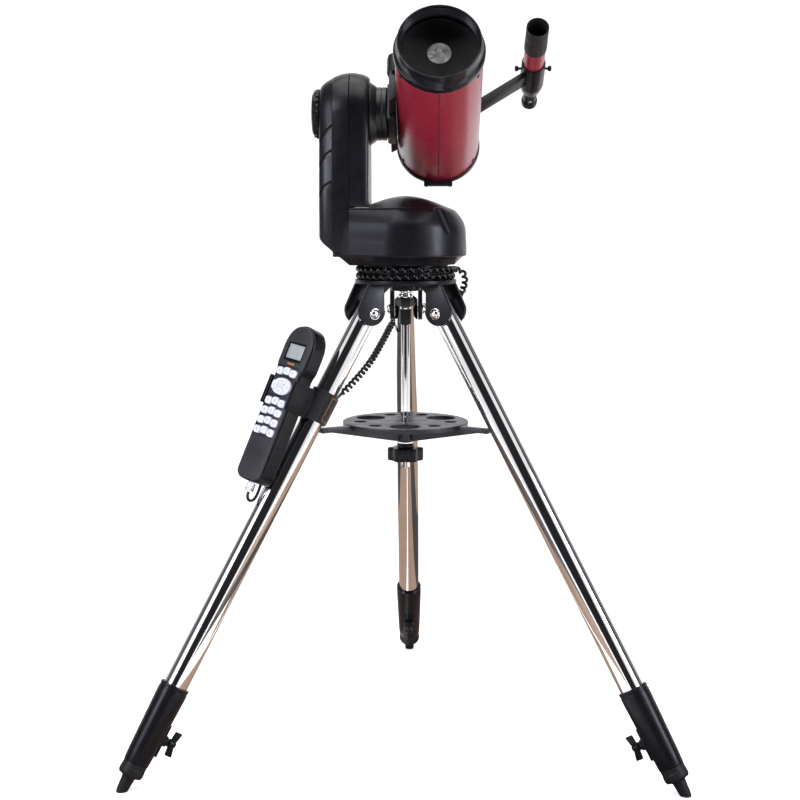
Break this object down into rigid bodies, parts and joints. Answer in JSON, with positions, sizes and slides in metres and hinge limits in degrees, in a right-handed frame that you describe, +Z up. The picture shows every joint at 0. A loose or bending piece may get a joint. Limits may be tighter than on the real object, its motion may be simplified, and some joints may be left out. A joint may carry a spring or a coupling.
{
  "type": "computerised telescope mount on tripod",
  "caption": "Single-arm altazimuth telescope mount on a folding chrome tripod, with a short red optical tube, finder, accessory tray and corded hand controller.",
  "frame": {"origin": "middle of the footprint of the three feet, on the floor", "axes": "+Z up, the optical tube looks toward -Y and 28 degrees up, +X to the right seen from in front of it"},
  "size_m": [0.7332, 0.6382, 0.988],
  "materials": {
    "black_plastic": "satin moulded plastic",
    "soft_black": "fine matt moulded plastic",
    "black_metal": "black satin coating",
    "rubber": "soft matt rubber",
    "chrome": "bright polished",
    "steel": "satin",
    "brass": "machined",
    "red_paint": "deep gloss",
    "glass": "coated optical glass",
    "clear_plastic": "clear moulded plastic",
    "mirror": "aluminised glass",
    "board": "solder mask",
    "silicone": "smooth silicone",
    "grey_plastic": "fine grained",
    "fabric": "woven webbing"
  },
  "bodies": {
    "root": {"tripod_head": "black_plastic", "hinge_bolt_back": "steel", "hinge_bolt_left": "steel", "hinge_bolt_right": "steel", "base_ring": "black_plastic", "azimuth_wheel": "brass", "cord_wrap": "rubber", "curly_cord": "rubber"},
    "mount_bolt": {"mount_bolt": "steel", "centre_rod": "chrome"},
    "tray": {"accessory_tray": "soft_black"},
    "tray_knob": {"tray_knob": "black_plastic"},
    "leg_back": {"leg_tube_back": "chrome", "leg_sleeve_back": "black_plastic"},
    "leg_back_extension": {"inner_tube_back": "chrome", "foot_back": "rubber"},
    "wing_screw_back": {"wing_screw_back": "black_plastic"},
    "leg_left": {"leg_tube_left": "chrome", "leg_sleeve_left": "black_plastic", "holder_strap": "fabric", "handset_holder": "black_plastic", "handset_body": "grey_plastic", "cord_tail": "rubber", "handset_plug": "clear_plastic"},
    "leg_left_extension": {"inner_tube_left": "chrome", "foot_left": "rubber"},
    "wing_screw_left": {"wing_screw_left": "black_plastic"},
    "leg_right": {"leg_tube_right": "chrome", "leg_sleeve_right": "black_plastic"},
    "leg_right_extension": {"inner_tube_right": "chrome", "foot_right": "rubber"},
    "wing_screw_right": {"wing_screw_right": "black_plastic"},
    "turntable": {"base_pan": "soft_black", "base_housing": "soft_black", "arm_frame": "steel", "arm_outer_cover": "soft_black", "arm_inner_cover": "soft_black", "circuit_board": "board", "azimuth_motor": "black_metal", "altitude_motor": "black_metal"},
    "azimuth_worm": {"azimuth_worm": "steel"},
    "altitude_worm": {"altitude_worm": "steel"},
    "scope": {"altitude_wheel": "brass", "altitude_hub": "black_metal", "saddle": "black_metal", "dovetail_bar": "black_metal", "optical_tube": "red_paint", "front_cell": "black_metal", "corrector_lens": "glass", "baffle_tube": "black_metal", "rear_cell": "black_metal", "finder_bracket": "black_plastic", "finder_tube": "red_paint"},
    "primary_mirror": {"primary_mirror": "mirror"},
    "clutch_knob": {"clutch_knob": "black_plastic"},
    "saddle_knob": {"saddle_knob": "black_plastic"},
    "focus_knob": {"focus_knob": "black_plastic"},
    "function_keys": {"function_keys": "silicone"},
    "arrow_pad": {"arrow_pad": "silicone"},
    "number_keys": {"number_keys": "silicone"}
  },
  "joints": [
    {"name": "mount_bolt_turn", "type": "hinge", "parent": "root", "child": "mount_bolt", "pos_m": [0, -0.10312, 0.61], "axis": [0, 0, 1], "continuous": true},
    {"name": "tray_drop", "type": "slide", "parent": "root", "child": "tray", "axis": [0, 0, -1], "range_m": [0, 0.3]},
    {"name": "tray_knob_turn", "type": "hinge", "parent": "tray", "child": "tray_knob", "pos_m": [0, -0.10312, 0.4], "axis": [0, 0, 1], "continuous": true},
    {"name": "fold_back", "type": "hinge", "parent": "root", "child": "leg_back", "pos_m": [0, -0.04383, 0.597], "axis": [-1, 0, 0], "range_deg": [0, 18.1]},
    {"name": "extend_back", "type": "slide", "parent": "leg_back", "child": "leg_back_extension", "axis": [0, 0.5105, -0.8599], "range_m": [0, 0.33]},
    {"name": "wing_screw_back_turn", "type": "hinge", "parent": "leg_back", "child": "wing_screw_back", "pos_m": [0, 0.24487, 0.05201], "axis": [0, -0.8599, -0.5105], "continuous": true},
    {"name": "fold_left", "type": "hinge", "parent": "root", "child": "leg_left", "pos_m": [-0.05135, -0.13278, 0.597], "axis": [0.5, -0.866, 0], "range_deg": [0, 18.1], "deforming": ["curly_cord"]},
    {"name": "extend_left", "type": "slide", "parent": "leg_left", "child": "leg_left_extension", "axis": [-0.4421, -0.2553, -0.8599], "range_m": [0, 0.33]},
    {"name": "wing_screw_left_turn", "type": "hinge", "parent": "leg_left", "child": "wing_screw_left", "pos_m": [-0.30138, -0.27712, 0.05201], "axis": [0.7447, 0.4299, -0.5105], "continuous": true},
    {"name": "fold_right", "type": "hinge", "parent": "root", "child": "leg_right", "pos_m": [0.05135, -0.13278, 0.597], "axis": [0.5, 0.866, 0], "range_deg": [0, 18.1]},
    {"name": "extend_right", "type": "slide", "parent": "leg_right", "child": "leg_right_extension", "axis": [0.4421, -0.2553, -0.8599], "range_m": [0, 0.33]},
    {"name": "wing_screw_right_turn", "type": "hinge", "parent": "leg_right", "child": "wing_screw_right", "pos_m": [0.30138, -0.27712, 0.05201], "axis": [-0.7447, 0.4299, -0.5105], "continuous": true},
    {"name": "azimuth", "type": "hinge", "parent": "root", "child": "turntable", "pos_m": [0, -0.10312, 0.677], "axis": [0, 0, 1], "continuous": true},
    {"name": "azimuth_worm_turn", "type": "hinge", "parent": "turntable", "child": "azimuth_worm", "pos_m": [0, -0.14772, 0.677], "axis": [1, 0, 0], "continuous": true},
    {"name": "altitude", "type": "hinge", "parent": "turntable", "child": "scope", "pos_m": [-0.04, -0.10312, 0.86], "axis": [-1, 0, 0], "range_deg": [-43, 61.5]},
    {"name": "altitude_worm_turn", "type": "hinge", "parent": "turntable", "child": "altitude_worm", "pos_m": [-0.0855, -0.10312, 0.8154], "axis": [0, 1, 0], "continuous": true},
    {"name": "clutch", "type": "hinge", "parent": "scope", "child": "clutch_knob", "pos_m": [-0.118, -0.10312, 0.86], "axis": [-1, 0, 0], "range_deg": [0, 120]},
    {"name": "saddle_knob_turn", "type": "hinge", "parent": "scope", "child": "saddle_knob", "pos_m": [-0.017, -0.08428, 0.89528], "axis": [0, 0.471, 0.8821], "continuous": true},
    {"name": "focus_knob_turn", "type": "hinge", "parent": "scope", "child": "focus_knob", "pos_m": [0.0738, -0.00455, 0.83231], "axis": [0, -0.8821, 0.471], "range_deg": [-720, 720]},
    {"name": "mirror_shift", "type": "slide", "parent": "scope", "child": "primary_mirror", "axis": [0, -0.8821, 0.471], "range_m": [-0.0015, 0.0015]},
    {"name": "function_keys_press", "type": "slide", "parent": "leg_left", "child": "function_keys", "axis": [0.6092, 0.6893, -0.392], "range_m": [0, 0.0008], "stiffness_N_per_m": 2000},
    {"name": "arrow_pad_press", "type": "slide", "parent": "leg_left", "child": "arrow_pad", "axis": [0.6092, 0.6893, -0.392], "range_m": [0, 0.0008], "stiffness_N_per_m": 2000},
    {"name": "number_keys_press", "type": "slide", "parent": "leg_left", "child": "number_keys", "axis": [0.6092, 0.6893, -0.392], "range_m": [0, 0.0008], "stiffness_N_per_m": 2000}
  ],
  "couplings": [
    {"joint": "fold_back", "follows": "tray_drop", "rad_per_m": 1.05},
    {"joint": "fold_left", "follows": "tray_drop", "rad_per_m": 1.05},
    {"joint": "fold_right", "follows": "tray_drop", "rad_per_m": 1.05},
    {"joint": "azimuth_worm_turn", "follows": "azimuth", "ratio": 40},
    {"joint": "altitude_worm_turn", "follows": "altitude", "ratio": 40},
    {"joint": "focus_knob_turn", "follows": "mirror_shift", "rad_per_m": 8333.3}
  ]
}
